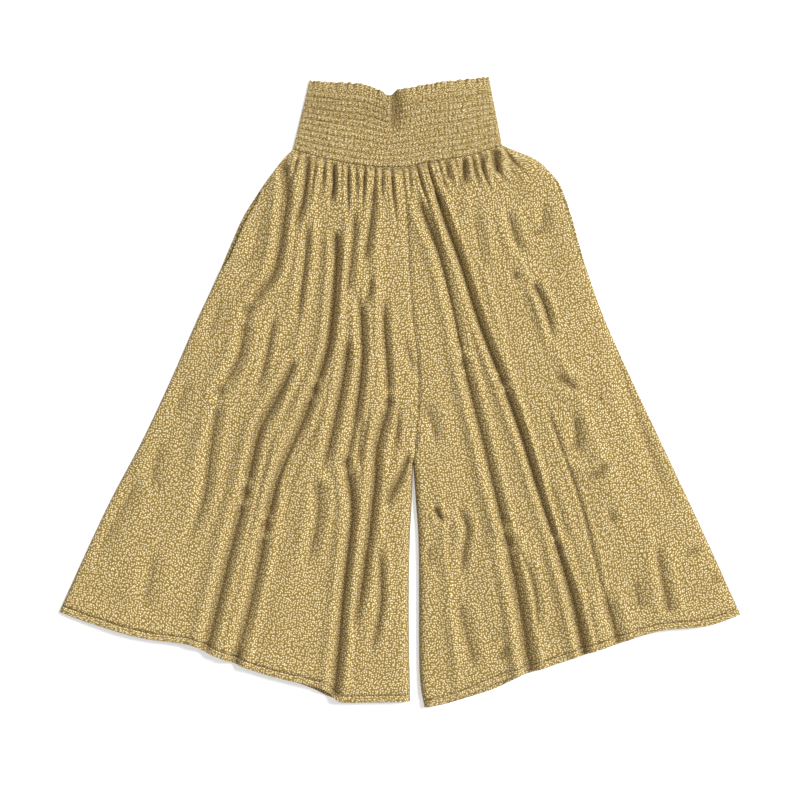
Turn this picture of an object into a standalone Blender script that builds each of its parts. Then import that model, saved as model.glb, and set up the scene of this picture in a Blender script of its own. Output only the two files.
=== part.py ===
"""Culottes laid flat with the front up: a wide smocked waistband over two gathered, flared legs.

Sizes are in millimetres and are turned into metres when a piece is made. X runs across the
garment with the wearer's right at -X, Y runs up it from hem to waist, and Z rises from the
surface it lies on. The back lies on that surface and the front lies on the back.
"""

import bmesh
import bpy
import numpy as np

MM = 0.001

# Cloth walls and the gaps left between pieces
PANEL_WALL = 1.2
BAND_WALL = 2.6
HEM_WALL = 2.2
LAYER_GAP = 0.3
SEAM_GAP = 0.4
HEM_PROUD = 0.3

# How finely each piece is divided: columns across, rows down
FRONT_COLUMNS = 30
BACK_COLUMNS = 18
PANEL_ROWS = 18
BAND_COLUMNS = 24
BAND_ROWS = 4
FACING_COLUMNS = 2
FACING_ROWS = 8

# Shares of a panel's length, from the waist seam (0) to the hem's edge (1)
HEM_START = 0.987
ROW_SPREAD = 1.25
CROTCH_ROW = 11
CROTCH_SHARE = HEM_START * (CROTCH_ROW / PANEL_ROWS) ** ROW_SPREAD
POCKET_MOUTH = {"right": (0.09, 0.28), "left": (0.10, 0.30)}

# Side-seam pockets: how far the mouth draws in, and what its facing needs under the front
MOUTH_INSET = 6.0
MOUTH_RUN = 0.04
FACING_WIDTH = 18.0
FACING_CLEAR = 0.1
FACING_NEAR = 22.0
FACING_FAR = 52.0

# Heights of the front layer over the back one
SIDE_LOFT = 2.6
MIDDLE_LOFT = 6.0
LOFT_REACH = 120.0
LEAST_LOFT = 1.8
EDGE_REACH = 24.0
WAIST_RUN = 0.04
HEM_RAMP = (0.93, 0.98)
RIDGE_FADE = 0.25

# A crease's raised shoulders: height beside its depth, and place and spread beside its half width
SHOULDER = 0.45
SHOULDER_PLACE = 2.2
SHOULDER_SPREAD = 1.3

# The smocked front's stand-off, and the dent that runs down from the notch in its top edge
BAND_PUFF = 2.2
PUFF_REACH = 60.0
BAND_DENT = 1.8
DENT_WIDTH = 9.0
DENT_FOOT = 365.0
DENT_RUN = 30.0

COLOURS = {
    "viscose": (0.46, 0.33, 0.14, 1.0),
    "smocking": (0.44, 0.31, 0.13, 1.0),
    "facing": (0.42, 0.30, 0.12, 1.0),
    "hem": (0.43, 0.31, 0.13, 1.0),
}

# Waistband outline, from the wearer's right to the left: x, y
BAND_TOP = (
    (-131, 451), (-87, 448), (-52, 445), (-30, 437), (-16, 429),
    (-4, 437), (17, 441), (52, 447), (99, 453), (129, 456),
)
BAND_SEAM = ((-155, 351), (-107, 337), (-50, 327), (3, 325), (39, 332), (96, 341), (148, 357))
BAND_SIDES = {
    "right": ((-131, 451), (-137, 425), (-155, 351)),
    "left": ((129, 456), (133, 435), (148, 357)),
}

# Side seams, a row for each level: y, x of the right seam, x of the left seam
SIDE_LEVELS = (
    (339, -168, 193),
    (322, -181, 214),
    (300, -197, 232),
    (257, -225, 248),
    (213, -245, 260),
    (170, -263, 273),
    (104, -294, 297),
    (17, -332, 336),
    (-70, -373, 377),
    (-157, -419, 418),
    (-244, -460, 458),
)
# Hems, a row for each station across: x, y of the front's edge, y of the back's edge
HEM_STATIONS = {
    "right": (
        (-493, -318, -318),
        (-444, -335, -333),
        (-374, -355, -351),
        (-304, -365, -362),
        (-270, -380, -374),
        (-200, -406, -401),
        (-130, -424, -426),
        (-107, -431, -437),
        (-86, -447, -443),
        (-44, -448, -443),
        (15, -447, -444),
    ),
    "left": (
        (35, -456, -456),
        (61, -450, -453),
        (96, -438, -443),
        (131, -423, -432),
        (152, -415, -423),
        (200, -401, -400),
        (270, -378, -374),
        (304, -367, -363),
        (374, -345, -342),
        (444, -338, -334),
        (493, -322, -322),
    ),
}

# Centre seam from the waist to the crotch, and each leg's inseam from there to the hem: x, y
CENTRE_SEAM = ((3, 325), (11, 241), (15, 148), (24, 60), (27, 0), (23, -70), (19, -104))
INSEAMS = {
    "right": ((19, -104), (17, -160), (14, -230), (13, -330), (15, -447)),
    "left": ((19, -104), (23, -160), (27, -230), (28, -400), (35, -456)),
}

# Creases pressed into the front: depth, half width, soft start, soft end, route from the top
FRONT_CREASES = (
    (3.0, 8, 0.0, 0.5, ((-133, 341), (-141, 270), (-155, 210))),
    (5.0, 12, 0.2, 0.3, ((-165, 310), (-178, 190), (-222, 110), (-252, 15), (-275, -80), (-320, -244))),
    (5.5, 11, 0.3, 0.0, ((-137, 200), (-150, 55), (-193, -30), (-215, -95), (-258, -276), (-281, -372))),
    (5.5, 11, 0.0, 0.0, ((-96, 334), (-92, 235), (-100, 100), (-144, -46), (-178, -125), (-240, -392))),
    (4.5, 10, 0.1, 0.3, ((-72, 330), (-68, 230), (-75, 90), (-100, -60), (-115, -140), (-140, -275))),
    (5.5, 10, 0.0, 0.0, ((-36, 326), (-50, 210), (-56, 40), (-72, -100), (-72, -200), (-96, -436))),
    (4.5, 10, 0.3, 0.2, ((-24, 150), (-18, 0), (-34, -82), (-38, -145), (-48, -225), (-72, -355))),
    (3.5, 10, 0.2, 0.2, ((12, -95), (-2, -125), (-30, -178))),
    (2.0, 14, 0.4, 0.3, ((-365, -105), (-423, -206), (-449, -261))),
    (5.0, 11, 0.0, 0.0, ((14, 326), (40, 245), (83, 86), (122, -83), (145, -172), (181, -390))),
    (5.0, 11, 0.0, 0.0, ((44, 333), (84, 193), (115, 100), (177, -65), (213, -181), (265, -377))),
    (3.0, 9, 0.0, 0.5, ((69, 336), (70, 300), (74, 270))),
    (4.0, 9, 0.0, 0.5, ((92, 341), (92, 290), (103, 240))),
    (4.0, 9, 0.0, 0.5, ((136, 353), (140, 310), (160, 250))),
    (3.0, 12, 0.3, 0.5, ((190, 160), (218, 92), (226, 50))),
    (2.5, 15, 0.4, 0.5, ((304, 78), (350, -49), (390, -149))),
    (3.5, 11, 0.4, 0.0, ((279, -232), (297, -306), (314, -362))),
    (3.0, 12, 0.4, 0.0, ((367, -206), (379, -270), (392, -340))),
)
# Ridges in the back, whose hollows are underneath: height, half width, route from the top
BACK_RIDGES = (
    (2.4, 44, ((-90, 280), (-130, 120), (-190, -90), (-250, -310))),
    (2.0, 40, ((-40, 240), (-60, 40), (-75, -180), (-95, -360))),
    (2.4, 44, ((60, 270), (105, 90), (150, -110), (190, -340))),
    (2.0, 44, ((120, 250), (190, 60), (260, -130), (320, -300))),
)


def ease(value):
    """A smooth step from 0 to 1."""
    share = np.clip(value, 0, 1)
    return share * share * (3 - 2 * share)


def smooth_curve(points, steps=10):
    """A smooth curve that passes through a few points."""
    near = np.array(points, float)
    ends = np.vstack([2 * near[0] - near[1], near, 2 * near[-1] - near[-2]])
    t = np.linspace(0, 1, steps, endpoint=False)[:, None]
    spans = []
    for before, start, stop, after in zip(ends, ends[1:], ends[2:], ends[3:]):
        bend = 2 * before - 5 * start + 4 * stop - after
        twist = 3 * start - before - 3 * stop + after
        spans.append(0.5 * (2 * start + (stop - before) * t + bend * t**2 + twist * t**3))
    return np.vstack([*spans, near[-1:]])


def stations(curve):
    """Each point's share of the way along a curve."""
    lengths = np.linalg.norm(np.diff(curve, axis=0), axis=1)
    travelled = np.concatenate([[0], np.cumsum(lengths)])
    return travelled / travelled[-1]


def edge_of(points):
    """An edge: stations from 0 to 1 and the points there."""
    curve = smooth_curve(points)
    return stations(curve), curve


def joined_edge(first, second, share):
    """Two edges in a row, the first of which ends at the given share."""
    marks = np.concatenate([first[0] * share, share + second[0][1:] * (1 - share)])
    return marks, np.vstack([first[1], second[1][1:]])


def at(edge, share):
    """The points of an edge at each share of its way."""
    marks, curve = edge
    return np.column_stack([np.interp(share, marks, curve[:, axis]) for axis in range(2)])


def spread(edges, u, v):
    """Plan points between four edges (top, bottom, left, right), u across and v down."""
    top, bottom, left, right = edges
    across, down = u[:, None], v[:, None]
    ruled = (1 - down) * at(top, u) + down * at(bottom, u)
    crossed = (1 - across) * at(left, v) + across * at(right, v)
    upper = (1 - across) * top[1][0] + across * top[1][-1]
    lower = (1 - across) * bottom[1][0] + across * bottom[1][-1]
    return ruled + crossed - (1 - down) * upper - down * lower


def measure(route, plan):
    """How far each plan point is from a route, and its share of the way along it."""
    starts = route[:-1]
    runs = np.diff(route, axis=0)
    away = plan[:, None] - starts
    share = np.clip((away * runs).sum(2) / (runs**2).sum(1), 0, 1)
    gaps = np.linalg.norm(away - share[..., None] * runs, axis=2)
    nearest = gaps.argmin(1)
    rows = np.arange(len(plan))
    return gaps[rows, nearest], (nearest + share[rows, nearest]) / len(runs)


def part_of(edge, low, high, steps=40):
    """The stretch of an edge between two shares, as an edge of its own."""
    marks = np.linspace(0, 1, steps)
    return marks, at(edge, low + marks * (high - low))


# The edges that the pieces share
SEAM = edge_of(BAND_SEAM)
SEAM_MIDDLE = float(np.interp(CENTRE_SEAM[0][0], SEAM[1][:, 0], SEAM[0]))
SIDES = {
    "right": edge_of([BAND_SEAM[0], *((x, y) for y, x, _ in SIDE_LEVELS), HEM_STATIONS["right"][0][:2]]),
    "left": edge_of([BAND_SEAM[-1], *((x, y) for y, _, x in SIDE_LEVELS), HEM_STATIONS["left"][-1][:2]]),
}
INNER = {
    leg: joined_edge(edge_of(CENTRE_SEAM), edge_of(INSEAMS[leg]), CROTCH_SHARE) for leg in INSEAMS
}


def shifted(edge, x, y):
    """An edge moved in plan."""
    return edge[0], edge[1] + np.array([x, y])


def panel_edges(leg, layer):
    """The four edges of a leg panel: the waist seam, the hem, and the edges at -X and +X."""
    gap = SEAM_GAP / 2
    column = 1 if layer == "front" else 2
    hem = edge_of([(row[0], row[column]) for row in HEM_STATIONS[leg]])
    if leg == "right":
        waist = part_of(SEAM, 0, SEAM_MIDDLE)
        left, right = SIDES["right"], INNER["right"]
    else:
        waist = part_of(SEAM, SEAM_MIDDLE, 1)
        left, right = INNER["left"], SIDES["left"]
    move = -gap if leg == "right" else gap
    return tuple(shifted(edge, move, -gap) for edge in (waist, hem, left, right))


def back_lift(plan):
    """How far the ridges lift the back off the surface."""
    lift = np.zeros(len(plan))
    for height, width, route in BACK_RIDGES:
        away, along = measure(smooth_curve(route), plan)
        strength = ease(along / RIDGE_FADE) * ease((1 - along) / RIDGE_FADE)
        lift = np.maximum(lift, height * strength * ease(1 - away / width))
    return lift


def creases(plan):
    """The sum of the front's creases: hollows with a raised shoulder on each side."""
    total = np.zeros(len(plan))
    for depth, width, starts, ends, route in FRONT_CREASES:
        away, along = measure(smooth_curve(route), plan)
        strength = np.full(len(plan), float(depth))
        if starts:
            strength *= ease(along / starts)
        if ends:
            strength *= ease((1 - along) / ends)
        hollow = np.exp(-((away / width) ** 2))
        shoulder = SHOULDER * np.exp(-(((away / width - SHOULDER_PLACE) / SHOULDER_SPREAD) ** 2))
        total += strength * (shoulder - hollow)
    return total


def side_distance(plan):
    """Distance to the nearer side seam."""
    return np.minimum(measure(SIDES["right"][1], plan)[0], measure(SIDES["left"][1], plan)[0])


def slit_distance(plan):
    """Distance to the gap between the legs."""
    inseams = [edge_of(INSEAMS[leg])[1] for leg in INSEAMS]
    return np.minimum(*(measure(inseam, plan)[0] for inseam in inseams))


def band_puff(plan):
    """How far the middle of the smocked front stands off the back, less the dent at its notch."""
    left, right = (measure(smooth_curve(BAND_SIDES[side]), plan)[0] for side in BAND_SIDES)
    dent = np.exp(-((plan[:, 0] / DENT_WIDTH) ** 2)) * ease((plan[:, 1] - DENT_FOOT) / DENT_RUN)
    return BAND_PUFF * ease(np.minimum(left, right) / PUFF_REACH) - BAND_DENT * dent


def front_under(leg, plan, v):
    """Height of the underside of the front layer."""
    side = side_distance(plan)
    loft = SIDE_LOFT + (MIDDLE_LOFT - SIDE_LOFT) * ease(side / LOFT_REACH)
    room = loft + creases(plan) - LEAST_LOFT
    rise = LEAST_LOFT + 0.5 * (room + np.sqrt(room**2 + 1))
    rise *= ease(side / EDGE_REACH) * ease(slit_distance(plan) / EDGE_REACH)
    top, bottom = POCKET_MOUTH[leg]
    mouth = ease((v - top) / MOUTH_RUN + 1.25) * ease((bottom - v) / MOUTH_RUN + 1.25)
    near = ease((FACING_FAR - side) / (FACING_FAR - FACING_NEAR))
    facing = (LAYER_GAP + PANEL_WALL + FACING_CLEAR) * mouth * near
    at_band = 1 - ease(v / WAIST_RUN)
    band_level = BAND_WALL - PANEL_WALL + (BAND_WALL - PANEL_WALL) / 2
    waist = (band_level + band_puff(plan)) * at_band
    hem_room = 2 * (HEM_WALL - PANEL_WALL) - HEM_PROUD
    at_hem = hem_room * ease((v - HEM_RAMP[0]) / (HEM_RAMP[1] - HEM_RAMP[0]))
    return back_top(plan) + LAYER_GAP + waist + (rise + facing) * (1 - at_band) + at_hem


def back_top(plan):
    """Height of the upper side of the back panels."""
    return PANEL_WALL + back_lift(plan)


def leg_surface(leg, layer, u, v):
    """Upper side of a leg panel at u across and v down, as points."""
    edges = panel_edges(leg, layer)
    if layer == "front":
        top, bottom = POCKET_MOUTH[leg]
        mouth = ease((v - top) / MOUTH_RUN) * ease((bottom - v) / MOUTH_RUN)
        width = np.linalg.norm(at(edges[3], v) - at(edges[2], v), axis=1)
        inset = MOUTH_INSET * mouth / width
        u = inset + u * (1 - inset) if leg == "right" else u * (1 - inset)
    plan = spread(edges, u, v)
    if layer == "front":
        height = front_under(leg, plan, v) + PANEL_WALL
    else:
        height = back_top(plan)
    return np.column_stack([plan, height])


def band_surface(layer, u, v):
    """Upper side of one half of the waistband."""
    gap = np.array([0, SEAM_GAP / 2])
    seam = (SEAM[0], SEAM[1] + gap)
    sides = [edge_of(BAND_SIDES[side]) for side in BAND_SIDES]
    sides = [(marks, curve + gap * marks[:, None]) for marks, curve in sides]
    plan = spread((edge_of(BAND_TOP), seam, *sides), u, v)
    height = np.full(len(plan), BAND_WALL)
    if layer == "front":
        height += BAND_WALL + LAYER_GAP + band_puff(plan)
    return np.column_stack([plan, height])


def facing_surface(leg, u, v):
    """Upper side of a pocket facing, made from the back panel's points moved up."""
    top, bottom = POCKET_MOUTH[leg]
    v = top + v * (bottom - top)
    edges = panel_edges(leg, "back")
    width = np.linalg.norm(at(edges[3], v) - at(edges[2], v), axis=1)
    reach = FACING_WIDTH / width
    across = u * reach if leg == "right" else 1 - (1 - u) * reach
    points = leg_surface(leg, "back", across, v)
    points[:, 2] += LAYER_GAP + PANEL_WALL
    return points


def fabric(name):
    """A plain cloth material."""
    material = bpy.data.materials.new(name)
    material.use_nodes = True
    shader = material.node_tree.nodes["Principled BSDF"]
    shader.inputs["Base Color"].default_value = COLOURS[name]
    shader.inputs["Roughness"].default_value = 0.85
    shader.inputs["Metallic"].default_value = 0.0
    return material


def make_sheet(name, columns, rows, surface, wall, material, collection):
    """Lay a grid on a surface (a function of u across and v down) and give it a wall below."""
    mesh = bpy.data.meshes.new(name)
    grid = bmesh.new()
    bmesh.ops.create_grid(grid, x_segments=columns, y_segments=rows, size=0.5)
    flat = np.array([vertex.co[:2] for vertex in grid.verts])
    points = surface(flat[:, 0] + 0.5, 0.5 - flat[:, 1]) * MM
    for vertex, point in zip(grid.verts, points):
        vertex.co = point
    grid.to_mesh(mesh)
    grid.free()
    mesh.shade_smooth()
    mesh.materials.append(material)
    sheet = bpy.data.objects.new(name, mesh)
    collection.objects.link(sheet)
    cloth = sheet.modifiers.new("wall", "SOLIDIFY")
    cloth.thickness = wall * MM
    cloth.offset = -1
    return sheet


def make_leg(leg, layer, materials, collection):
    """A leg panel and the turned hem along its lower edge."""
    columns = FRONT_COLUMNS if layer == "front" else BACK_COLUMNS
    gap = SEAM_GAP / 2 / (CENTRE_SEAM[0][1] - INSEAMS[leg][-1][1])

    def panel(u, v):
        return leg_surface(leg, layer, u, (HEM_START - gap) * v**ROW_SPREAD)

    def hem(u, v):
        points = leg_surface(leg, layer, u, HEM_START + gap + v * (1 - HEM_START - gap))
        points[:, 2] += HEM_PROUD if layer == "front" else HEM_WALL - PANEL_WALL
        return points

    make_sheet(
        f"{layer}_panel_{leg}", columns, PANEL_ROWS, panel, PANEL_WALL, materials["viscose"], collection
    )
    make_sheet(f"hem_{layer}_{leg}", columns, 1, hem, HEM_WALL, materials["hem"], collection)


def make_culottes():
    """Every piece, in a collection of its own."""
    for item in list(bpy.data.objects):
        bpy.data.objects.remove(item)
    collection = bpy.data.collections.new("culottes")
    bpy.context.scene.collection.children.link(collection)
    materials = {name: fabric(name) for name in COLOURS}
    for layer in ("back", "front"):
        for leg in ("right", "left"):
            make_leg(leg, layer, materials, collection)
        make_sheet(
            f"waistband_{layer}", BAND_COLUMNS, BAND_ROWS,
            lambda u, v, layer=layer: band_surface(layer, u, v),
            BAND_WALL, materials["smocking"], collection,
        )
    for leg in ("right", "left"):
        make_sheet(
            f"pocket_facing_{leg}", FACING_COLUMNS, FACING_ROWS,
            lambda u, v, leg=leg: facing_surface(leg, u, v),
            PANEL_WALL, materials["facing"], collection,
        )


make_culottes()
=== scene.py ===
# %% [markdown]
# # Culottes with a smocked waist, laid flat
# Wide, gathered trousers lie front side up on a pale surface, under soft studio light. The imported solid
# parts already give every place and size, and this lesson dresses them in thin, creased, printed cloth.
# One could drop a cloth simulation on the solids, but it would choose its own folds. Here each fold is
# drawn instead, so that it stays where the maker wants it.

# %% Load the frame
import math

import bpy
import numpy as np
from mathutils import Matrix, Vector


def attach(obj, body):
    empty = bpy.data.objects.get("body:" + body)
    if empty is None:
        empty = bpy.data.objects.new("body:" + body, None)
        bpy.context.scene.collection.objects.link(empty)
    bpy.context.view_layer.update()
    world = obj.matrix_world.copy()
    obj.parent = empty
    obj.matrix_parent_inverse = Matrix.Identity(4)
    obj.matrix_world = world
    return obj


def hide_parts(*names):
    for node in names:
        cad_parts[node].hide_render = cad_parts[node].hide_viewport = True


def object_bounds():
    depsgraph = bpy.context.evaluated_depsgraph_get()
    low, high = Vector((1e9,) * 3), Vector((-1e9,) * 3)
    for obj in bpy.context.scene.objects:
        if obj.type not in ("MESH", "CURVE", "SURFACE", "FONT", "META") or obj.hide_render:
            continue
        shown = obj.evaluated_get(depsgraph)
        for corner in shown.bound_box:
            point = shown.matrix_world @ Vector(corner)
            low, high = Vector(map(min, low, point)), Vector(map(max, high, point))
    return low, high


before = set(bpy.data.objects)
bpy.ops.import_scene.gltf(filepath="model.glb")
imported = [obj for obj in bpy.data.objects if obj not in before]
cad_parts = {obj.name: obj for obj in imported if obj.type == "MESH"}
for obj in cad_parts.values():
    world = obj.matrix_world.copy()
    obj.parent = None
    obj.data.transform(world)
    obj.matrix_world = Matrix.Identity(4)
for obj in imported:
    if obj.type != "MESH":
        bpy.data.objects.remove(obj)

cad_box = [list(map(float, corner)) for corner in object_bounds()]
print("solid parts:", ", ".join(sorted(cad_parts)))
print("their box:", cad_box)

# %% [markdown]
# ## Where the drawing meets the frame
# The pattern is drawn in millimetres about the middle of the garment. The frame's own box says how long a
# drawn millimetre is and where the middle lies, so the cloth always fits its solid parts. The wearer's
# right is at -X, the waist at +Y, and heights start at the surface below.

# %% Scale and middle
DRAWN_WIDTH = 986.4
MM = (cad_box[1][0] - cad_box[0][0]) / DRAWN_WIDTH
MIDDLE = np.array([
    (cad_box[0][0] + cad_box[1][0]) / 2,
    (cad_box[0][1] + cad_box[1][1]) / 2,
    cad_box[0][2],
])


def placed(points):
    """Drawn points in millimetres, as points of the frame in metres."""
    return points * MM + MIDDLE


print(f"one drawn millimetre is {MM * 1000:.4f} mm in the frame")

# %% [markdown]
# ## Soft steps
# Cloth never changes height at a corner.

# %% Soft steps
def ease(value):
    """A smooth step from 0 to 1."""
    share = np.clip(value, 0, 1)
    return share * share * (3 - 2 * share)


def rounded(value):
    """A quarter circle from 0 to 1, for an edge that rolls over."""
    share = np.clip(value, 0, 1)
    return np.sqrt(1 - (1 - share) ** 2)


print("a quarter of the way up a slope:", ease(0.25))

# %% [markdown]
# ## Curves through a few marks
# A tailor draws a seam through a handful of marks with a flexible curve. A Catmull-Rom curve is the same
# thing in numbers: it passes through every mark, and its direction at a mark follows the marks on both
# sides.

# %% Smooth edges
def smooth_curve(points, steps=8):
    """A smooth curve that passes through a few points."""
    near = np.array(points, float)
    ends = np.vstack([2 * near[0] - near[1], near, 2 * near[-1] - near[-2]])
    t = np.linspace(0, 1, steps, endpoint=False)[:, None]
    spans = []
    for before, start, stop, after in zip(ends, ends[1:], ends[2:], ends[3:]):
        bend = 2 * before - 5 * start + 4 * stop - after
        twist = 3 * start - before - 3 * stop + after
        spans.append(0.5 * (2 * start + (stop - before) * t + bend * t**2 + twist * t**3))
    return np.vstack([*spans, near[-1:]])


def travelled(curve):
    """The length of a curve up to each of its points."""
    return np.concatenate([[0], np.cumsum(np.linalg.norm(np.diff(curve, axis=0), axis=1))])


def edge_of(points):
    """An edge: shares from 0 to 1 and the points there."""
    curve = smooth_curve(points)
    lengths = travelled(curve)
    return lengths / lengths[-1], curve


def at(edge, share):
    """The points of an edge at each share of its way."""
    marks, curve = edge
    return np.column_stack([np.interp(share, marks, curve[:, axis]) for axis in range(2)])


print("a bent edge's middle:", at(edge_of(((0, 0), (50, 20), (100, 0))), [0.5])[0])

# %% [markdown]
# ## Joining edges and filling between them
# A panel is bounded by four edges. A Coons patch fills them: it blends from top to bottom and from left to
# right, and takes away what the two blends share.

# %% Edges and patches
def joined_edge(first, second, share):
    """Two edges in a row, the first of which ends at the given share."""
    marks = np.concatenate([first[0] * share, share + second[0][1:] * (1 - share)])
    return marks, np.vstack([first[1], second[1][1:]])


def part_of(edge, low, high, steps=40):
    """The stretch of an edge between two shares, as an edge of its own."""
    marks = np.linspace(0, 1, steps)
    return marks, at(edge, low + marks * (high - low))


def spread(edges, u, v):
    """Plan points between four edges (top, bottom, left, right), u across and v down."""
    top, bottom, left, right = edges
    across, down = u[:, None], v[:, None]
    ruled = (1 - down) * at(top, u) + down * at(bottom, u)
    crossed = (1 - across) * at(left, v) + across * at(right, v)
    upper = (1 - across) * top[1][0] + across * top[1][-1]
    lower = (1 - across) * bottom[1][0] + across * bottom[1][-1]
    return ruled + crossed - (1 - down) * upper - down * lower


# %% [markdown]
# ## How far from a line
# Every crease, seam and edge shapes the cloth near it, so the question asked most often is how far a point
# is from a line. The share of the way along that line lets a crease start and end softly.

# %% Distance to a route
def measure(route, plan):
    """How far each plan point is from a route, and its share of the way along it."""
    runs = np.diff(route, axis=0)
    away = plan[:, None] - route[:-1]
    share = np.clip((away * runs).sum(2) / (runs**2).sum(1), 0, 1)
    gaps = np.linalg.norm(away - share[..., None] * runs, axis=2)
    nearest = gaps.argmin(1)
    rows = np.arange(len(plan))
    return gaps[rows, nearest], (nearest + share[rows, nearest]) / len(runs)


def nearer(curves, plan):
    """Distance to the nearer of two curves."""
    return np.minimum(*(measure(curve, plan)[0] for curve in curves))


# %% [markdown]
# ## The outline
# Culottes are flared: short across the gathered waist and almost a metre across both hems. Each table
# holds the marks of one seam. The front and back share the side seams, but their hems dip and rise where
# folds reach them, so those have a height for each layer.

# %% Marks of the waistband
BAND_TOP = (
    (-131, 451), (-87, 448), (-52, 445), (-30, 437), (-16, 429),
    (-4, 437), (17, 441), (52, 447), (99, 453), (129, 456),
)
BAND_SEAM = ((-155, 351), (-107, 337), (-50, 327), (3, 325), (39, 332), (96, 341), (148, 357))
BAND_SIDES = {
    "right": ((-131, 451), (-137, 425), (-155, 351)),
    "left": ((129, 456), (133, 435), (148, 357)),
}
print("band top:", len(BAND_TOP), "marks, from", BAND_TOP[0], "to", BAND_TOP[-1])

# %% Marks of the legs
# y, x of the right seam, x of the left seam
SIDE_LEVELS = (
    (339, -168, 193),
    (322, -181, 214),
    (300, -197, 232),
    (257, -225, 248),
    (213, -245, 260),
    (170, -263, 273),
    (104, -294, 297),
    (17, -332, 336),
    (-70, -373, 377),
    (-157, -419, 418),
    (-244, -460, 458),
)
# x, y of the front's edge, y of the back's edge
HEM_STATIONS = {
    "right": (
        (-493, -318, -318), (-444, -335, -333), (-374, -355, -351), (-304, -365, -362),
        (-270, -380, -374), (-200, -406, -401), (-130, -424, -426), (-107, -431, -437),
        (-86, -447, -443), (-44, -448, -443), (15, -447, -444),
    ),
    "left": (
        (35, -456, -456), (61, -450, -453), (96, -438, -443), (131, -423, -432),
        (152, -415, -423), (200, -401, -400), (270, -378, -374), (304, -367, -363),
        (374, -345, -342), (444, -338, -334), (493, -322, -322),
    ),
}
CENTRE_SEAM = ((3, 325), (11, 241), (15, 148), (24, 60), (27, 0), (23, -70), (19, -104))
INSEAMS = {
    "right": ((19, -104), (17, -160), (14, -230), (13, -330), (15, -447)),
    "left": ((19, -104), (23, -160), (27, -230), (28, -400), (35, -456)),
}
print("hem stations:", {leg: len(rows) for leg, rows in HEM_STATIONS.items()})

# %% [markdown]
# ## Seams made from the marks
# The centre seam and an inseam make one long edge, the inner edge of a leg.

# %% Seams
HEM_START = 0.987
SEAM_GAP = 0.1
# The frame's panels have 18 rows, spread towards the hem, and the crotch is at the 11th
CROTCH_SHARE = HEM_START * (11 / 18) ** 1.25

SEAM = edge_of(BAND_SEAM)
SEAM_MIDDLE = float(np.interp(CENTRE_SEAM[0][0], SEAM[1][:, 0], SEAM[0]))
SIDES = {
    "right": edge_of([
        BAND_SEAM[0], *((x, y) for y, x, _ in SIDE_LEVELS), HEM_STATIONS["right"][0][:2]
    ]),
    "left": edge_of([
        BAND_SEAM[-1], *((x, y) for y, _, x in SIDE_LEVELS), HEM_STATIONS["left"][-1][:2]
    ]),
}
INNER = {
    leg: joined_edge(edge_of(CENTRE_SEAM), edge_of(INSEAMS[leg]), CROTCH_SHARE) for leg in INSEAMS
}
for side, (_, curve) in SIDES.items():
    print(f"{side} side seam: {travelled(curve)[-1]:.0f} mm")


def panel_edges(leg, layer):
    """The four edges of a leg panel: the waist seam, the hem, and the edges at -X and +X."""
    gap = SEAM_GAP / 2
    hem_level = 1 if layer == "front" else 2
    hem_edge = edge_of([(row[0], row[hem_level]) for row in HEM_STATIONS[leg]])
    if leg == "right":
        waist, left, right = part_of(SEAM, 0, SEAM_MIDDLE), SIDES["right"], INNER["right"]
    else:
        waist, left, right = part_of(SEAM, SEAM_MIDDLE, 1), INNER["left"], SIDES["left"]
    move = np.array([-gap if leg == "right" else gap, -gap])
    return tuple((edge[0], edge[1] + move) for edge in (waist, hem_edge, left, right))


# %% [markdown]
# ## The front's creases
# Light viscose that was gathered at the waist falls in long, soft valleys that fan out to the hem, and no
# two are alike. Each one is a row of a table: its depth, its half width, how softly it starts and ends as
# shares of its length, and its route from the top. A negative depth is a ridge.

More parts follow.
